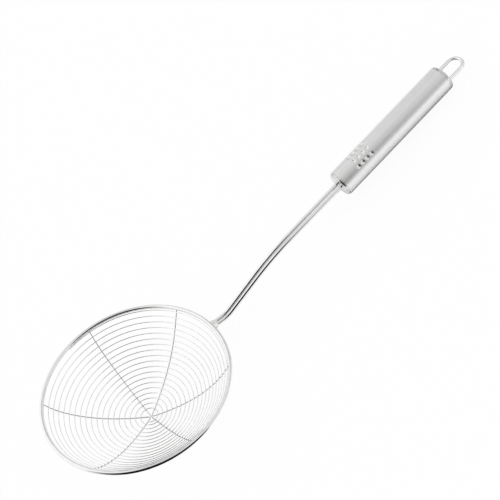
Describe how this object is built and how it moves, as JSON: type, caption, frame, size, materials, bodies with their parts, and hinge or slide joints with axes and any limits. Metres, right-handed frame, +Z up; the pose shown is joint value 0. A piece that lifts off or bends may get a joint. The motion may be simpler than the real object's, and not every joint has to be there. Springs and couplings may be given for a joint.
{
  "type": "spider skimmer",
  "caption": "Wire basket skimmer with a polished rim, a bent two-wire stem and a round brushed steel handle with a hanging loop.",
  "frame": {"origin": "centre of the bounding box, at its base: the table on which the basket's belly and the handle's far end rest", "axes": "+X along the piece from the basket towards the hanging loop, +Z up from the table"},
  "size_m": [0.3966, 0.14, 0.0607],
  "materials": {
    "rim_steel": "mirror polished stainless steel wire",
    "stem_steel": "mirror polished stainless steel wire",
    "loop_steel": "polished stainless steel wire",
    "mesh_steel": "bright drawn stainless steel wire",
    "cross_steel": "bright drawn stainless steel wire",
    "weld_steel": "polished weld metal",
    "handle_steel": "satin, with fine grinding lines round the tube",
    "cap_steel": "mirror polished pressed steel"
  },
  "bodies": {
    "root": {"rim_ring": "rim_steel", "basket_spiral": "mesh_steel", "cross_wire_middle": "cross_steel", "cross_wire_tip_side": "cross_steel", "cross_wire_handle_side": "cross_steel", "stem_wire_left": "stem_steel", "stem_wire_right": "stem_steel", "stem_weld": "weld_steel", "handle_tube": "handle_steel", "front_cap": "cap_steel", "rear_cap": "cap_steel", "hanging_loop": "loop_steel"}
  },
  "joints": []
}
